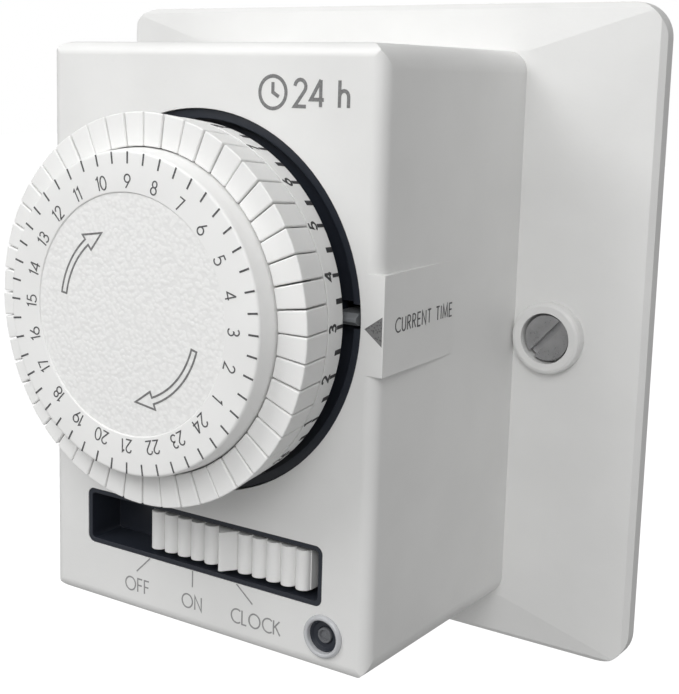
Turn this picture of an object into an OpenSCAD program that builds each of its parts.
// Wall-mounted 24-hour time switch with 48 captive tappets and a three-position mode slider.
//
// Every piece is drawn lying on its back: X to the right, Y up, Z out of the wall.
// upright() then stands it up: X stays to the right, Z is up and the front faces -Y.
// The origin is on the wall face, midway between the two fixing screws.

/* [Backplate] */
// Width of the backplate
plate_w = 86; // [84:1:90]
// Height of the backplate
plate_h = 86; // [84:1:90]
// Thickness of the backplate at the housing
plate_t = 3.3; // [3.1:0.1:3.6]
// Distance between the centres of the two fixing screws
fixing_pitch = 60.3; // [60.3:0.1:61]

/* [Housing] */
// Width of the housing
box_w = 50.4; // [50.4:0.1:51]
// Height of the housing
box_h = 73.8; // [73.8:0.1:76]
// Height of the housing's front face above the wall
front_z = 38.4; // [38.4:0.1:38.6]
// Thickness of the housing's side walls
wall = 1.6; // [1.5:0.1:1.6]

/* [Dial] */
// Sideways place of the dial's axis
dial_x = -0.5; // [-0.6:0.1:-0.4]
// Height of the dial's axis above the fixing screws
dial_y = 5.6; // [5.4:0.1:5.8]
// Radius of the numbered disc
disc_r = 19.1; // [19:0.1:19.1]
// Radius of the tappet ring at its front edge
tappet_r = 23.25; // [23.1:0.05:23.4]
// Radius of the round opening behind the dial
well_r = 23.5; // [23.4:0.1:23.5]
// How far a tappet is pulled forward to change its setting
tappet_travel = 2; // [1:0.1:2]

/* [Mode slider] */
// Length of the slider window
window_w = 37.6; // [37.6:0.1:37.8]
// Height of the slider window
window_h = 7.5; // [7.4:0.1:7.6]
// Height of the window's centre above the fixing screws
window_y = -25.25; // [-25.3:0.05:-25.2]
// Length of the slider
slider_w = 25.4; // [25.2:0.1:25.4]
// Sideways place of the slider's centre in its clock position
slider_x = 4.1; // [4:0.1:4.2]

/* [Hidden] */
$fn = 64;

// Shared clearances
slip = 0.05;            // radial gap of a shaft in its bore
play = 0.15;            // gap beside a sliding piece
close = 0.02;           // gap of a pressed or screwed joint

// Backplate and housing
plate_rim = 2.5;        // plate thickness at its outer edge
plate_corner_r = 4.5;
rim_chamfer = 0.7;
box_corner_r = 2.8;
box_edge_r = 1.6;
front_wall = 2;
cavity_w = box_w - 2 * wall;
cavity_h = box_h - 2 * wall;
cavity_z = front_z - front_wall;
boss_r = 4.75;
boss_z = 4.6;
boss_round = 0.5;
recess_r = 3.35;
recess_z = 2.1;
fixing_hole_r = 2.1;
fixing_head_r = 3;
fixing_head_z = 3.9;
fixing_slot = [0.9, 1]; // width and depth
fixing_neck_r = 1.5;
fixing_thread_r = 1.75;
fixing_thread_z = 0;
fixing_reach = 10;      // length of screw behind the wall face
fixing_slot_dir = 48;
aperture = [34, 15];
aperture_y = -25;
// Posts that take the housing screws: top centre, bottom left, lower right
posts = [[0, box_h / 2 - 4.1], [-box_w / 2 + 3.6, -box_h / 2 + 4.3], [box_w / 2 - 3.6, -25]];
post_r = 1.9;
post_z = plate_t + 0.1;
self_tap_r = 1.4;
self_tap_head_r = 2.7;
self_tap_length = 9;
post_hole_r = 1.6;
counterbore_r = 3;
counterbore_z = 1.3;    // the housing screws' heads lie below the wall face
screw_slot_w = 0.5;
pad_y = [-0.1, 11.5];   // lower and upper edge of the raised current-time pad
pad_proud = 0.8;
pad_inset = 1.7;
pad_rear_z = 20;

// Dial, from the well outwards; there is one tappet for each half hour
tappet_count = 48;
skirt_rear_z = 40;
skirt_z = 43.45;
web_rear_z = 43.9;
web_z = 45.1;
tappet_lip_z = 43.6;    // rear edge of the lip that hides the carrier's ring
tappet_rear_z = 45.3;
tappet_bend_z = 46.4;
tappet_z = 48.6;
disc_z = 51.3;
skirt_rear_r = 22.1;
skirt_r = 22.55;
skirt_t = 0.9;
ring_r = 21.85;         // carrier's ring under the lips of the tappets
tappet_bend_r = 22.9;
tappet_edge = 0.3;
hub_r = 5;
hub_rear_z = 38.2;
spindle_r = 2;
spindle_rear_z = 26.6;
spindle_front_z = 49;
disc_hub_r = 4;
disc_hollow_r = 17.6;
disc_hollow_z = 49.7;
texture_r = 14.1;
texture_depth = 0.15;
tappet_angle = 360 / tappet_count;
tappet_gap_angle = 0.42;
tail_r = [19.6, 20.8];
tail_angle = 4;
tail_rear_z = 39.4;
barb_r = 19;
slot_angle = 5;
tappets_per_group = 4;

// Chassis
chassis_z = [34.8, 36.2];
chassis_w = cavity_w - 0.4;
chassis_h = cavity_h - 0.6;
well_rim_z = 37.9;
well_wall = 1.1;
bush_r = 4.4;
bush_z = [34.6, 37.9];
tray_floor_z = [31.8, 32.8];
tray_wall = 0.6;
tray_gap = 0.25;
tray_rim_t = 0.6;       // black rim that lines the slider window
window_x = -0.1;
window_corner_r = 1;
through_chassis = [30, 40];
chassis_screw_xy = [[-19.5, 31.5], [19.5, 31.5], [-14, -33], [11, -33]];

// Mode slider
slider_h = 5;
slider_y = -25.1;
slider_z = [33.4, 37.4];
rib_r = 1;
rib_pitch = 2.17;
first_rib = 2.65;
ribs_per_side = 5;
fin_half_w = 1.5;
fin_z = 39.6;
slider_travel = 9.4;
neck_w = 9;
neck_h = 1.8;
foot_h = 3.4;
foot_z = [31, 31.6];
finger_w = 2;
finger_top_y = -15;

// Gears: stub teeth, so that a 12-tooth pinion isn't undercut
gear_module = 0.5;
dial_teeth = 72;
centre_teeth = 48;
pinion_teeth = 12;
pressure = 20;
addendum = 0.7 * gear_module;
dedendum = 1.05 * gear_module;
backlash = 0.12;
flank_steps = 4;
dial_pitch_r = gear_module * dial_teeth / 2;
centre_pitch_r = gear_module * centre_teeth / 2;
pinion_pitch_r = gear_module * pinion_teeth / 2;
centre_xy = [dial_x, dial_y - dial_pitch_r - pinion_pitch_r];
motor_dir = 60;
motor_xy = centre_xy + (centre_pitch_r + pinion_pitch_r) * [cos(motor_dir), sin(motor_dir)];
dial_wheel_z = [32.4, 33.6];
centre_wheel_z = [29.6, 30.6];
centre_pinion_z = [32.2, 33.8];
motor_pinion_z = [29.2, 31];
arbor_r = 0.8;
arbor_z = [26.6, 35.8];
motor_shaft_r = 1;
motor_shaft_z = [25, 31.2];

// Movement plate, pillars and motor
movement_z = [26.4, 27.4];
through_movement = [26, 28];
pillar_r = 1.6;
pillar_xy = [[-15, 21], [15, 21], [-21.3, -19.6], [21.3, -19.6]];
motor_centre = [-2, 0];
motor_r = 16.8;
motor_z = [12, 25.6];
motor_skin = 0.7;
motor_ear_y = 18.8;
motor_ear_r = 2.4;
small_screw_r = 1;
small_head_r = 1.9;
small_head_t = 1.1;

// Trip lever and switch
lever_x = [19.4, 22.4];
lever_z = [29.8, 31.2];
lever_y = [-17, 7];
lever_pivot = [-11, 30.5];  // height and distance from the wall
lever_pin_r = 0.8;
lug_x = [17.8, 23.4];
lever_tip_z = 38.8;
lever_tip_x = 22.5;
lever_tip_y = [5.4, 6.8];
switch_x = [17.6, 23.2];
switch_y = [-9.2, 9.6];
switch_z = [16, 28.2];
switch_wall = 0.9;
plunger_half = 1;
plunger_x = 20.6;
blade_x = [19.6, 21.2];     // width of the switch blade and of the contacts
blade_z = [23.4, 23.7];
blade_tail_y = -6;
contact_y = [0, 6];         // the switch's other two terminals
contact_span = [[-0.3, 5.2], [3.6, 6.3]];
contact_z = [18.9, 21.4];
contact_t = 0.5;
switch_tail_z = 14.4;

// Lamp
lamp_xy = [19.1, -32.4];
lamp_flange_r = 2.65;
lamp_hole_r = 2.25;
lamp_body_r = 2.15;
bulb_r = 1.3;

// Terminal block
block_w = 30;
block_y = [-31, -19];
block_z = [5, 16];
clamp_pitch = 7;
clamp_size = [4.6, 6, 7];
clamp_y = aperture_y;
clamp_bore_z = 9;
clamp_bore_r = 1.6;
terminal_screw_r = 1.25;
block_screw_xy = [for (s = [-1, 1]) [s * 18.9, aperture_y + 4]];

// ---------------------------------------------------------------- helpers

module upright() rotate([90, 0, 0]) children();

// A flat outline made into a slab between two distances from the wall
module slab(z) translate([0, 0, z[0]]) linear_extrude(z[1] - z[0]) children();

// The limits of a length centred on a place
function around(centre, half) = [centre - half, centre + half];

// A round rod along the wall's normal
module rod(r, z, at = [0, 0]) translate([at[0], at[1], z[0]]) cylinder(r = r, h = z[1] - z[0]);

// A box between three pairs of limits
module block(x, y, z) translate([x[0], y[0], z[0]]) cube([x[1] - x[0], y[1] - y[0], z[1] - z[0]]);

module on_dial_axis() translate([dial_x, dial_y, 0]) children();

module round_rect(w, h, r) {
    square([w - 2 * r, h], center = true);
    square([w, h - 2 * r], center = true);
    for (sx = [-1, 1], sy = [-1, 1])
        translate([sx * (w / 2 - r), sy * (h / 2 - r)]) circle(r);
}

// Side profile of a box with its two front edges rounded: width along X, height along Y
module round_front(w, h, r) {
    translate([-w / 2, 0]) square([w, h - r]);
    translate([-w / 2 + r, 0]) square([w - 2 * r, h]);
    for (s = [-1, 1]) translate([s * (w / 2 - r), h - r]) circle(r);
}

// Extrude a side profile along Y, or along X, centred, with the profile's Y as distance from the wall
module along_y(length) rotate([90, 0, 0]) linear_extrude(length, center = true) children();
module along_x(length) rotate([90, 0, 90]) linear_extrude(length, center = true) children();

// Half the angle of an involute tooth at radius r
function involute(a) = tan(a) * 180 / PI - a;
function tooth_half_angle(teeth, r) =
    let (pitch_r = gear_module * teeth / 2, base_r = pitch_r * cos(pressure))
    let (thickness = PI * gear_module / 2 - backlash)
    thickness / (2 * pitch_r) * 180 / PI + involute(pressure) - involute(acos(min(1, base_r / r)));

// Outline of a spur gear whose first tooth points along the angle turn
module gear_outline(teeth, turn = 0) {
    pitch_r = gear_module * teeth / 2;
    root_r = pitch_r - dedendum;
    tip_r = pitch_r + addendum;
    low_r = max(root_r, pitch_r * cos(pressure));
    foot = low_r > root_r ? [root_r] : [];
    radii = concat(foot, [for (i = [0 : flank_steps]) low_r + (tip_r - low_r) * i / flank_steps]);
    rising = [for (r = radii) [r, -tooth_half_angle(teeth, max(r, low_r))]];
    falling = [for (i = [len(radii) - 1 : -1 : 0]) [radii[i], -rising[i][1]]];
    polygon([for (t = [0 : teeth - 1], p = concat(rising, falling))
        p[0] * [cos(p[1] + turn + t * 360 / teeth), sin(p[1] + turn + t * 360 / teeth)]]);
}

// A ring sector between two radii, centred on the angle at
module sector(r, angle, z, at) on_dial_axis() rotate([0, 0, at - angle / 2])
    rotate_extrude(angle = angle) translate([r[0], z[0]]) square([r[1] - r[0], z[1] - z[0]]);

// A headed screw that enters towards +Z (dir = 1) or towards the wall (dir = -1)
module screw(at, seat_z, head_r, head_t, shank_r, length, dir) {
    translate([at[0], at[1], seat_z]) mirror([0, 0, dir < 0 ? 1 : 0]) {
        difference() {
            translate([0, 0, -head_t]) cylinder(r = head_r, h = head_t);
            translate([-head_r, -screw_slot_w / 2, -head_t - 1])
                cube([2 * head_r, screw_slot_w, 1 + head_t / 2]);
        }
        translate([0, 0, -head_t / 4]) cylinder(r = shank_r, h = length + head_t / 4);
    }
}

// ---------------------------------------------------------------- case

module plate_profile(w, flat_w) {
    polygon([
        [-w / 2, 0], [w / 2, 0], [w / 2, plate_rim - rim_chamfer], [w / 2 - rim_chamfer, plate_rim],
        [flat_w / 2, plate_t], [-flat_w / 2, plate_t],
        [-w / 2 + rim_chamfer, plate_rim], [-w / 2, plate_rim - rim_chamfer]
    ]);
}

module backplate() color("white") upright() difference() {
    union() {
        intersection() {
            slab([0, plate_t]) round_rect(plate_w, plate_h, plate_corner_r);
            along_y(plate_h) plate_profile(plate_w, box_w);
            along_x(plate_w) plate_profile(plate_h, box_h);
        }
        for (s = [-1, 1]) translate([s * fixing_pitch / 2, 0]) rotate_extrude() polygon([
            [0, 1], [boss_r, 1], [boss_r, boss_z - boss_round],
            [boss_r - 0.3 * boss_round, boss_z - 0.3 * boss_round],
            [boss_r - boss_round, boss_z], [0, boss_z]
        ]);
    }
    for (s = [-1, 1]) {
        rod(recess_r, [recess_z, boss_z + 1], [s * fixing_pitch / 2, 0]);
        rod(fixing_hole_r, [-1, recess_z + 1], [s * fixing_pitch / 2, 0]);
    }
    translate([0, aperture_y, 0]) slab([-1, plate_t + 1]) square(aperture, center = true);
    for (p = posts) {
        rod(post_hole_r, [-1, plate_t + 1], p);
        rod(counterbore_r, [-1, counterbore_z], p);
    }
    for (p = block_screw_xy) rod(small_screw_r, [1, plate_t + 1], p);
}

module housing_shell() intersection() {
    slab([plate_t, front_z]) round_rect(box_w, box_h, box_corner_r);
    along_y(box_h) round_front(box_w, front_z, box_edge_r);
    along_x(box_w) round_front(box_h, front_z, box_edge_r);
}

// Raised pad that wraps the right front edge beside the dial and fades into the side
module time_pad() translate([0, pad_y[0], 0]) mirror([0, 1, 0]) rotate([90, 0, 0])
    linear_extrude(pad_y[1] - pad_y[0]) polygon([
        [box_w / 2 - pad_inset, front_z], [box_w / 2 + pad_proud, front_z],
        [box_w / 2 - 0.02, pad_rear_z], [box_w / 2 - pad_inset, pad_rear_z]
    ]);

module housing() color("white") upright() difference() {
    union() {
        difference() {
            union() {
                housing_shell();
                time_pad();
            }
            slab([plate_t - 1, cavity_z]) square([cavity_w, cavity_h], center = true);
        }
        for (p = posts) rod(post_r, [post_z, cavity_z + 0.5], p);
    }
    on_dial_axis() rod(well_r, [cavity_z - 1, front_z + 1]);
    window_block(0, [cavity_z - 1, front_z + 1]);
    rod(lamp_hole_r, [cavity_z - 1, front_z + 1], lamp_xy);
    for (p = posts) rod(self_tap_r + close, [post_z - 1, 12], p);
    for (p = chassis_screw_xy) rod(small_screw_r + close, [cavity_z - 1, front_z - 0.7], p);
}

module housing_screws() color("silver") upright()
    for (p = posts) screw(p, counterbore_z, self_tap_head_r, small_head_t, self_tap_r, self_tap_length, 1);

// Machine screws whose shank is reduced under the head
module fixing_screws() color("silver") upright() for (s = [-1, 1]) translate([s * fixing_pitch / 2, 0, 0]) {
    difference() {
        rod(fixing_head_r, [recess_z + close, fixing_head_z]);
        rotate([0, 0, fixing_slot_dir])
            translate([-fixing_head_r - 1, -fixing_slot[0] / 2, fixing_head_z - fixing_slot[1]])
                cube([2 * fixing_head_r + 2, fixing_slot[0], fixing_slot[1] + 1]);
    }
    rod(fixing_neck_r, [fixing_thread_z, recess_z + 0.5]);
    rod(fixing_thread_r, [-fixing_reach, fixing_thread_z]);
}

// ---------------------------------------------------------------- chassis

module tray_area(grow) translate([window_x, window_y])
    square([window_w + 2 * (tray_gap + grow), window_h + 2 * (tray_gap + grow)], center = true);

module window_block(inset, z) translate([window_x, window_y, 0])
    slab(z) round_rect(window_w - 2 * inset, window_h - 2 * inset, window_corner_r - min(inset, 0.5));

// Two lugs for the lever's pin, and shelves above and below the switch
module switch_brackets() {
    lug_y = [lever_pivot[0] - 1.7, switch_y[0] - slip];
    block([lug_x[0], lug_x[0] + 1.3], lug_y, [26, chassis_z[0] + 0.5]);
    block([lug_x[1] - 0.7, lug_x[1]], lug_y, [26, chassis_z[0] + 0.5]);
    block(lug_x, [lug_y[1] - 1.2, lug_y[1]], [18, 28.6]);
    block([lug_x[0] + 0.3, lug_x[1]], [switch_y[1] + slip, switch_y[1] + 1.4], [18, chassis_z[0] + 0.5]);
}

module front_chassis() color([0.08, 0.08, 0.1]) upright() difference() {
    union() {
        slab(chassis_z) square([chassis_w, chassis_h], center = true);
        on_dial_axis() difference() {
            rod(well_r - 0.1, [chassis_z[1] + 0.3, well_rim_z]);
            rod(well_r - 0.1 - well_wall, [chassis_z[1], well_rim_z + 1]);
        }
        on_dial_axis() difference() {
            rod(well_r - 0.5, [chassis_z[1] - 0.2, chassis_z[1] + 0.5]);
            rod(well_r - 0.1 - well_wall, [chassis_z[1] - 1, well_rim_z + 1]);
        }
        on_dial_axis() rod(bush_r, bush_z);
        slab([tray_floor_z[0], chassis_z[1]]) tray_area(tray_wall);
        window_block(close, [chassis_z[0], front_z - 0.1]);
        rod(2.2, [34.2, chassis_z[1]], centre_xy);
        switch_brackets();
    }
    on_dial_axis() rod(spindle_r + slip, through_chassis);
    rod(arbor_r + slip, [33, arbor_z[1] + 0.1], centre_xy);
    window_block(close + tray_rim_t, [tray_floor_z[1], front_z + 1]);
    block([slider_x - slider_travel - neck_w / 2 - 0.3, slider_x + neck_w / 2 + 0.3],
        around(slider_y, neck_h / 2 + play), [30, 34]);
    rod(lamp_hole_r, through_chassis, lamp_xy);
    for (p = posts) rod(post_r + 0.2, through_chassis, p);
    for (p = chassis_screw_xy) rod(1.2, through_chassis, p);
    block([lever_x[0] - 0.4, lever_tip_x + 0.2], lever_tip_y + [-0.4, 1], through_chassis);
    translate([lug_x[0] - 1, lever_pivot[0], lever_pivot[1]]) rotate([0, 90, 0])
        cylinder(r = lever_pin_r + close, h = 8);
}

module chassis_screws() color("silver") upright()
    for (p = chassis_screw_xy) screw(p, chassis_z[0], small_head_r, small_head_t, small_screw_r, 2.7, 1);

// ---------------------------------------------------------------- dial

module number_dial() color("white") upright() on_dial_axis() rotate_extrude() polygon([
    [spindle_r + close, web_z], [disc_hub_r, web_z], [disc_hub_r, disc_hollow_z],
    [disc_hollow_r, disc_hollow_z], [disc_hollow_r, web_z], [disc_r, web_z],
    [disc_r, tappet_z + 0.2], [disc_r - 0.15, disc_z - 0.35], [disc_r - 0.45, disc_z],
    [texture_r, disc_z], [texture_r, disc_z - texture_depth], [0, disc_z - texture_depth],
    [0, spindle_front_z + 0.1], [spindle_r + close, spindle_front_z + 0.1]
]);

module tappet_carrier() color("white") upright() difference() {
    on_dial_axis() rotate_extrude() polygon([
        [spindle_r + close, hub_rear_z], [hub_r, hub_rear_z], [hub_r, web_rear_z],
        [skirt_rear_r - skirt_t, web_rear_z], [skirt_rear_r - skirt_t, skirt_rear_z],
        [skirt_rear_r, skirt_rear_z], [skirt_r, skirt_z], [ring_r, skirt_z],
        [ring_r, web_z], [spindle_r + close, web_z]
    ]);
    for (i = [0 : tappet_count - 1])
        sector(tail_r + play * [-1, 1], slot_angle, [web_rear_z - 1, web_z + 1], tappet_angle * (i + 0.5));
}

// One tappet: a head beside the disc, with a lip over the carrier's ring, a tail through
// the carrier and a barb that keeps it captive
module tappet(at) {
    head_angle = tappet_angle - tappet_gap_angle;
    on_dial_axis() rotate([0, 0, at - head_angle / 2]) rotate_extrude(angle = head_angle) polygon([
        [disc_r + play, tappet_rear_z], [ring_r + play, tappet_rear_z],
        [ring_r + play, tappet_lip_z], [skirt_r, tappet_lip_z], [tappet_bend_r, tappet_bend_z],
        [tappet_r, tappet_z - tappet_edge], [tappet_r - tappet_edge, tappet_z], [disc_r + play, tappet_z]
    ]);
    barb_front_z = web_rear_z - tappet_travel - 0.2;
    on_dial_axis() rotate([0, 0, at - tail_angle / 2]) rotate_extrude(angle = tail_angle) polygon([
        [barb_r, tail_rear_z], [tail_r[1], tail_rear_z], [tail_r[1], tappet_rear_z + 0.5],
        [tail_r[0], tappet_rear_z + 0.5], [tail_r[0], barb_front_z], [barb_r, barb_front_z - 0.6]
    ]);
}

module tappet_group(group) color("white") upright()
    for (i = [0 : tappets_per_group - 1])
        tappet(tappet_angle * (tappets_per_group * group + i + 0.5));

module dial_spindle() color("silver") upright() on_dial_axis() difference() {
    rod(spindle_r, [spindle_rear_z, spindle_front_z]);
    rod(0.5, [spindle_rear_z - 1, spindle_rear_z + 1]);
}

module dial_wheel() color("ivory") upright() on_dial_axis() difference() {
    union() {
        slab(dial_wheel_z) gear_outline(dial_teeth, 0);
        rod(hub_r, [31.6, 34.4]);
    }
    rod(spindle_r + close, [30, 40]);
    for (a = [30 : 60 : 330]) rotate([0, 0, a]) rod(3.2, [30, 40], [11, 0]);
}

// Wave washer that lets the dial slip on its wheel when it is set by hand
module clutch_spring() color("silver") upright() on_dial_axis() difference() {
    rod(5, [31.1, 31.5]);
    rod(spindle_r + 0.3, [31, 32]);
}

module spindle_clip() color("silver") upright() on_dial_axis() difference() {
    rod(3.4, [30.4, 31.05]);
    rod(spindle_r + close, [30, 32]);
    block([-0.7, 0.7], [-4, 0], [30, 32]);
}

// ---------------------------------------------------------------- gear train

module centre_arbor() color("silver") upright() rod(arbor_r, arbor_z, centre_xy);

module centre_wheel() color("ivory") upright() translate(centre_xy) difference() {
    union() {
        slab(centre_wheel_z) gear_outline(centre_teeth, 0);
        rod(2, [29, 31.4]);
    }
    rod(arbor_r + close, [28, 33]);
    for (a = [0 : 72 : 288]) rotate([0, 0, a]) rod(2.3, [28, 33], [6.8, 0]);
}

module centre_pinion() color("goldenrod") upright() translate(centre_xy) difference() {
    slab(centre_pinion_z) gear_outline(pinion_teeth, 180 / pinion_teeth);
    rod(arbor_r + close, [31, 35]);
}

module motor_shaft() color("silver") upright() rod(motor_shaft_r, motor_shaft_z, motor_xy);

module motor_pinion() color("goldenrod") upright() translate(motor_xy) difference() {
    slab(motor_pinion_z) gear_outline(pinion_teeth, 180 / pinion_teeth);
    rod(motor_shaft_r + close, [28, 33]);
}

// ---------------------------------------------------------------- movement

module movement_plate() color("gainsboro") upright() difference() {
    slab(movement_z) polygon([
        [-17.2, 23.6], [17.2, 23.6], [17.2, -17.4], [23.3, -17.4], [23.3, -23],
        [-23.3, -23], [-23.3, -17.4], [-17.2, -17.4]
    ]);
    on_dial_axis() rod(spindle_r + slip, through_movement);
    rod(arbor_r + slip, through_movement, centre_xy);
    rod(3, through_movement, motor_xy);
    for (p = pillar_xy) rod(small_screw_r + close, through_movement, p);
    for (s = [-1, 1]) rod(small_screw_r + close, through_movement, motor_centre + [0, s * motor_ear_y]);
}

module pillars() color("silver") upright() for (p = pillar_xy) difference() {
    rod(pillar_r, [movement_z[1], chassis_z[0]], p);
    rod(small_screw_r + close, [movement_z[1] - 1, movement_z[1] + 3], p);
}

module pillar_screws() color("silver") upright() for (p = pillar_xy)
    screw(p, movement_z[0], small_head_r, small_head_t, small_screw_r, 3.5, 1);

module motor_cover() color("gainsboro") upright() difference() {
    union() {
        rod(motor_r, [motor_z[1], movement_z[0]], motor_centre);
        for (s = [-1, 1])
            rod(motor_ear_r, [motor_z[1], movement_z[0]], motor_centre + [0, s * motor_ear_y]);
    }
    rod(motor_shaft_r + slip, [25, 27], motor_xy);
    for (s = [-1, 1]) rod(small_screw_r + close, [25, 27], motor_centre + [0, s * motor_ear_y]);
}

module motor_case() color("silver") upright() translate(motor_centre) difference() {
    union() {
        rod(motor_r, [motor_z[0] + 1, motor_z[1]]);
        rod(motor_r - 1, [motor_z[0], motor_z[1]]);
    }
    rod(motor_r - motor_skin - 1, [motor_z[0] + motor_skin, motor_z[1] + 1]);
    for (s = [-1, 1]) rod(0.8, [motor_z[0] - 1, motor_z[0] + 2], [s * 3, -13.5]);
}

module motor_screws() color("silver") upright() for (s = [-1, 1])
    screw(
        motor_centre + [0, s * motor_ear_y], motor_z[1], small_head_r, small_head_t, small_screw_r, 2.6, 1
    );

// ---------------------------------------------------------------- trip lever and switch

module trip_lever() color("gray") upright() difference() {
    union() {
        block(lever_x, lever_y, lever_z);
        block([17.4, lever_x[1]], [lever_y[0], -14.6], lever_z);
        along_tip() polygon([
            [lever_z[0], lever_tip_y[0]], [lever_tip_z - 0.8, lever_tip_y[0]],
            [lever_tip_z, lever_tip_y[0] + 0.5], [lever_tip_z, lever_tip_y[1] - 0.5],
            [lever_tip_z - 0.8, lever_tip_y[1]], [lever_z[0], lever_tip_y[1]]
        ]);
        translate([lever_x[0], lever_pivot[0], lever_pivot[1]]) rotate([0, 90, 0])
            cylinder(r = 1.5, h = lever_x[1] - lever_x[0]);
    }
    translate([lever_x[0] - 1, lever_pivot[0], lever_pivot[1]]) rotate([0, 90, 0])
        cylinder(r = lever_pin_r + slip, h = 6);
}

// Extrude the tip's outline, drawn as distance from the wall against height, across the lever
module along_tip() translate([lever_tip_x, 0, 0]) rotate([0, -90, 0])
    linear_extrude(lever_tip_x - lever_x[0]) children();

module lever_pin() color("silver") upright() translate([lug_x[0], lever_pivot[0], lever_pivot[1]])
    rotate([0, 90, 0]) cylinder(r = lever_pin_r, h = lug_x[1] - lug_x[0]);

module switch_case() color("sienna") upright() difference() {
    block(switch_x, switch_y, switch_z);
    inward = switch_wall * [1, -1];
    block(switch_x + inward, switch_y + inward, switch_z + inward);
    block(around(plunger_x, plunger_half + play), around(0, plunger_half + play), [27, 29]);
    for (y = concat(blade_tail_y, contact_y))
        block(blade_x + [-0.2, 0.2], around(y, 0.5), [switch_z[0] - 1, switch_z[0] + 2]);
}

module switch_plunger() color("whitesmoke") upright() {
    block(around(plunger_x, plunger_half), around(0, plunger_half), [26.2, 29.6]);
    block(around(plunger_x, 1.5), around(0, 1.5), [25.6, 26.3]);
}

module switch_blade() color("goldenrod") upright() {
    block(blade_x, [blade_tail_y - 1, 5.2], blade_z);
    block(blade_x, around(blade_tail_y, 0.3), [switch_tail_z, blade_z[0] + 0.1]);
}

// Two fixed contacts under the blade's tip, each on its own terminal
module switch_contacts() color("goldenrod") upright() for (i = [0, 1]) {
    z = [contact_z[i], contact_z[i] + contact_t];
    block(blade_x, around(contact_y[i], 0.3), [switch_tail_z, z[1]]);
    block(blade_x, contact_span[i], z);
}

// ---------------------------------------------------------------- mode slider

module mode_slider() color("white") upright() translate([slider_x, slider_y, 0]) {
    half = slider_w / 2;
    difference() {
        block([-half, half], around(0, slider_h / 2), slider_z);
        for (i = [0 : 2]) translate([i * slider_travel / 2, 0, slider_z[0] - 0.1]) rotate([90, 0, 0])
            cylinder(r = 0.45, h = slider_h + 1, center = true);
    }
    for (s = [-1, 1], i = [0 : ribs_per_side - 1])
        translate([s * (first_rib + rib_pitch * i), 0, slider_z[1]]) rotate([90, 0, 0])
            cylinder(r = rib_r, h = slider_h, center = true);
    rotate([90, 0, 0]) linear_extrude(slider_h + 0.3, center = true)
        polygon([
            [-fin_half_w, slider_z[1] - 0.5], [fin_half_w, slider_z[1] - 0.5],
            [fin_half_w, slider_z[1] + 0.2], [0.3, fin_z], [-0.3, fin_z], [-fin_half_w, slider_z[1] + 0.2]
        ]);
    block(around(0, neck_w / 2), around(0, neck_h / 2), [foot_z[0] + 0.2, slider_z[0] + 0.2]);
    block([-neck_w / 2, half], around(0, foot_h / 2), foot_z);
    block([half - finger_w, half], [0, finger_top_y - slider_y], foot_z);
}

// Leaf spring on the tray's floor, with a rib for the grooves under the slider. It is drawn
// pressed down, as it is between two grooves.
module detent_spring() color("silver") upright() {
    leaf_z = [tray_floor_z[1], tray_floor_z[1] + 0.2];
    leaf_y = around(window_y - 2.1, 0.8);
    block([-7.5, 16.5], leaf_y, leaf_z);
    intersection() {
        translate([slider_x, leaf_y[1], leaf_z[1]]) rotate([90, 0, 0]) cylinder(r = 0.35, h = 1.6);
        block(around(slider_x, 1), leaf_y, [leaf_z[0], leaf_z[1] + 1]);
    }
}

// ---------------------------------------------------------------- lamp

module lamp_lens() color("whitesmoke", 0.6) upright() translate(lamp_xy) rotate_extrude() polygon([
    [bulb_r + 0.3, 33], [lamp_body_r, 33], [lamp_body_r, front_z + close], [lamp_flange_r, front_z + close],
    [lamp_flange_r, front_z + 0.35], [lamp_flange_r - 0.3, front_z + 0.6], [1.2, front_z + 0.9],
    [0, front_z + 0.95], [0, front_z + 0.25], [bulb_r + 0.3, front_z + 0.1]
]);

module neon_lamp() color("orange") upright() translate(lamp_xy) {
    rod(bulb_r, [30, 36.8]);
    translate([0, 0, 36.8]) sphere(bulb_r - 0.05);
}

module lamp_resistor() color("tan") upright() rod(1.1, [21, 27], lamp_xy + [0, 0.8]);

// ---------------------------------------------------------------- terminals and wires

function clamp_x(i) = (i - 1.5) * clamp_pitch;

module terminal_block() color("ghostwhite") upright() difference() {
    union() {
        block(around(0, block_w / 2), block_y, block_z);
        block([-21, 21], [aperture_y + 1.8, aperture_y + 6.2], [plate_t, block_z[0] + 2]);
    }
    translate([0, aperture_y, 0]) slab([0, block_z[0]]) square(aperture + [0, 1], center = true);
    for (i = [0 : 3]) {
        block(around(clamp_x(i), clamp_size[0] / 2 + 0.1), around(clamp_y, clamp_size[1] / 2 + 0.1),
            [0, block_z[0] + clamp_size[2] + 0.1]);
        translate([clamp_x(i), block_y[0] - 1, clamp_bore_z]) rotate([-90, 0, 0])
            cylinder(r = clamp_bore_r + 0.1, h = 5);
    }
    for (p = block_screw_xy) rod(1.3, [0, 10], p);
}

module terminal_clamps() color("goldenrod") upright() for (i = [0 : 3]) difference() {
    block(around(clamp_x(i), clamp_size[0] / 2), around(clamp_y, clamp_size[1] / 2),
        [block_z[0], block_z[0] + clamp_size[2]]);
    translate([clamp_x(i), clamp_y - clamp_size[1] / 2 - 1, clamp_bore_z]) rotate([-90, 0, 0])
        cylinder(r = clamp_bore_r, h = clamp_size[1] + 2);
    rod(terminal_screw_r + close, [block_z[0] - 1, clamp_bore_z], [clamp_x(i), clamp_y]);
}

module terminal_screws() color("goldenrod") upright() for (i = [0 : 3])
    screw([clamp_x(i), clamp_y], block_z[0] - close, small_head_r, 1.2, terminal_screw_r, 3, 1);

module block_screws() color("silver") upright() for (p = block_screw_xy)
    screw(p, block_z[0] + 2, small_head_r, small_head_t, small_screw_r - 0.05, 5.3, -1);

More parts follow.
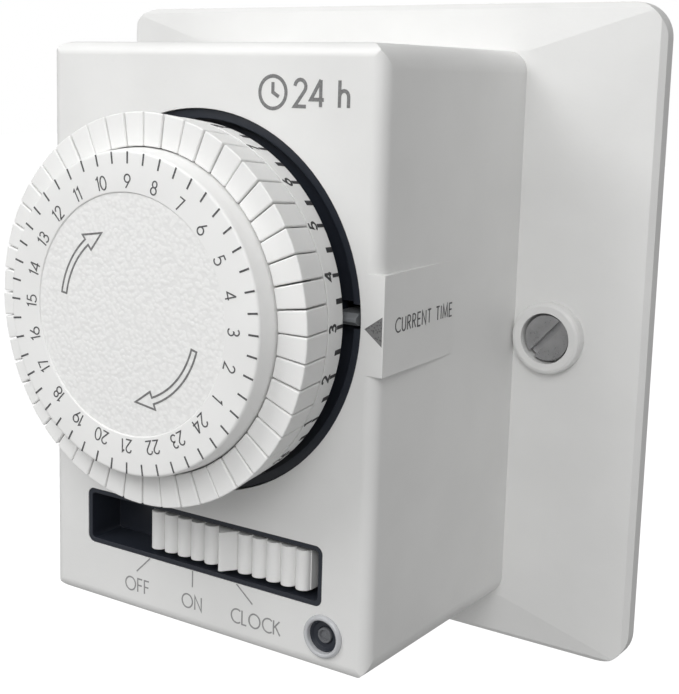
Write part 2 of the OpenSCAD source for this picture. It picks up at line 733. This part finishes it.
// A round wire through the points, bent through a right angle at each one between its ends
module wire(points, r) {
    last = len(points) - 1;
    bend_r = 1.5 * r;
    for (i = [0 : last - 1]) {
        d = points[i + 1] - points[i];
        way = d / norm(d);
        from = i > 0 ? bend_r : 0;
        to = norm(d) - (i + 1 < last ? bend_r : 0);
        translate(points[i] + from * way) rotate([0, acos(way[2]), atan2(way[1], way[0])])
            cylinder(r = r, h = to - from);
    }
    for (i = [1 : 1 : last - 1]) {
        arriving = (points[i] - points[i - 1]) / norm(points[i] - points[i - 1]);
        leaving = (points[i + 1] - points[i]) / norm(points[i + 1] - points[i]);
        across = cross(arriving, leaving);
        centre = points[i] + bend_r * (leaving - arriving);
        multmatrix([for (k = [0 : 2]) [-leaving[k], arriving[k], across[k], centre[k]]])
            rotate_extrude(angle = 90) translate([bend_r, 0]) circle(r);
    }
}

module switch_wires() color("saddlebrown") upright() {
    wire([[20.4, 0, 14.3], [20.4, 0, 11], [20.4, -21.8, 11], [15, -21.8, 11]], 0.7);
    wire([[20.4, -6, 14.3], [20.4, -6, 12.9], [18.4, -6, 12.9], [18.4, -20, 12.9], [15, -20, 12.9]], 0.6);
}

module motor_wires() color("steelblue") upright()
    for (s = [-1, 1]) wire([[s * 3 - 2, -13.5, 12], [s * 3 - 2, -13.5, 10.4], [s * 3 - 2, -19, 10.4]], 0.6);

// A point of a lamp lead, dy above the lamp's centre and z from the wall
function lamp_lead(dy, z) = [lamp_xy[0], lamp_xy[1] + dy, z];

module lamp_wires() color("ivory") upright() {
    turn_x = 17.2;
    wire([
        lamp_lead(-0.9, 30), lamp_lead(-0.9, 13), [turn_x, lamp_xy[1] - 0.9, 13],
        [turn_x, -30.4, 13], [15, -30.4, 13]
    ], 0.35);
    wire([lamp_lead(0.8, 30), lamp_lead(0.8, 27)], 0.3);
    wire([
        lamp_lead(0.8, 21), lamp_lead(0.8, 14), [turn_x, lamp_xy[1] + 0.8, 14],
        [turn_x, -29.4, 14], [15, -29.4, 14]
    ], 0.3);
}

// ---------------------------------------------------------------- assembly

backplate();
housing();
front_chassis();
number_dial();
tappet_carrier();
tappet_group(0);  // tappets_01
tappet_group(1);  // tappets_02
tappet_group(2);  // tappets_03
tappet_group(3);  // tappets_04
tappet_group(4);  // tappets_05
tappet_group(5);  // tappets_06
tappet_group(6);  // tappets_07
tappet_group(7);  // tappets_08
tappet_group(8);  // tappets_09
tappet_group(9);  // tappets_10
tappet_group(10);  // tappets_11
tappet_group(11);  // tappets_12
dial_spindle();
dial_wheel();
clutch_spring();
spindle_clip();
centre_arbor();
centre_wheel();
centre_pinion();
motor_shaft();
motor_pinion();
motor_cover();
motor_case();
motor_screws();
movement_plate();
pillars();
pillar_screws();
chassis_screws();
trip_lever();
lever_pin();
switch_case();
switch_plunger();
switch_blade();
switch_contacts();
mode_slider();
detent_spring();
lamp_lens();
neon_lamp();
lamp_resistor();
terminal_block();
terminal_clamps();
terminal_screws();
block_screws();
switch_wires();
motor_wires();
lamp_wires();
housing_screws();
fixing_screws();
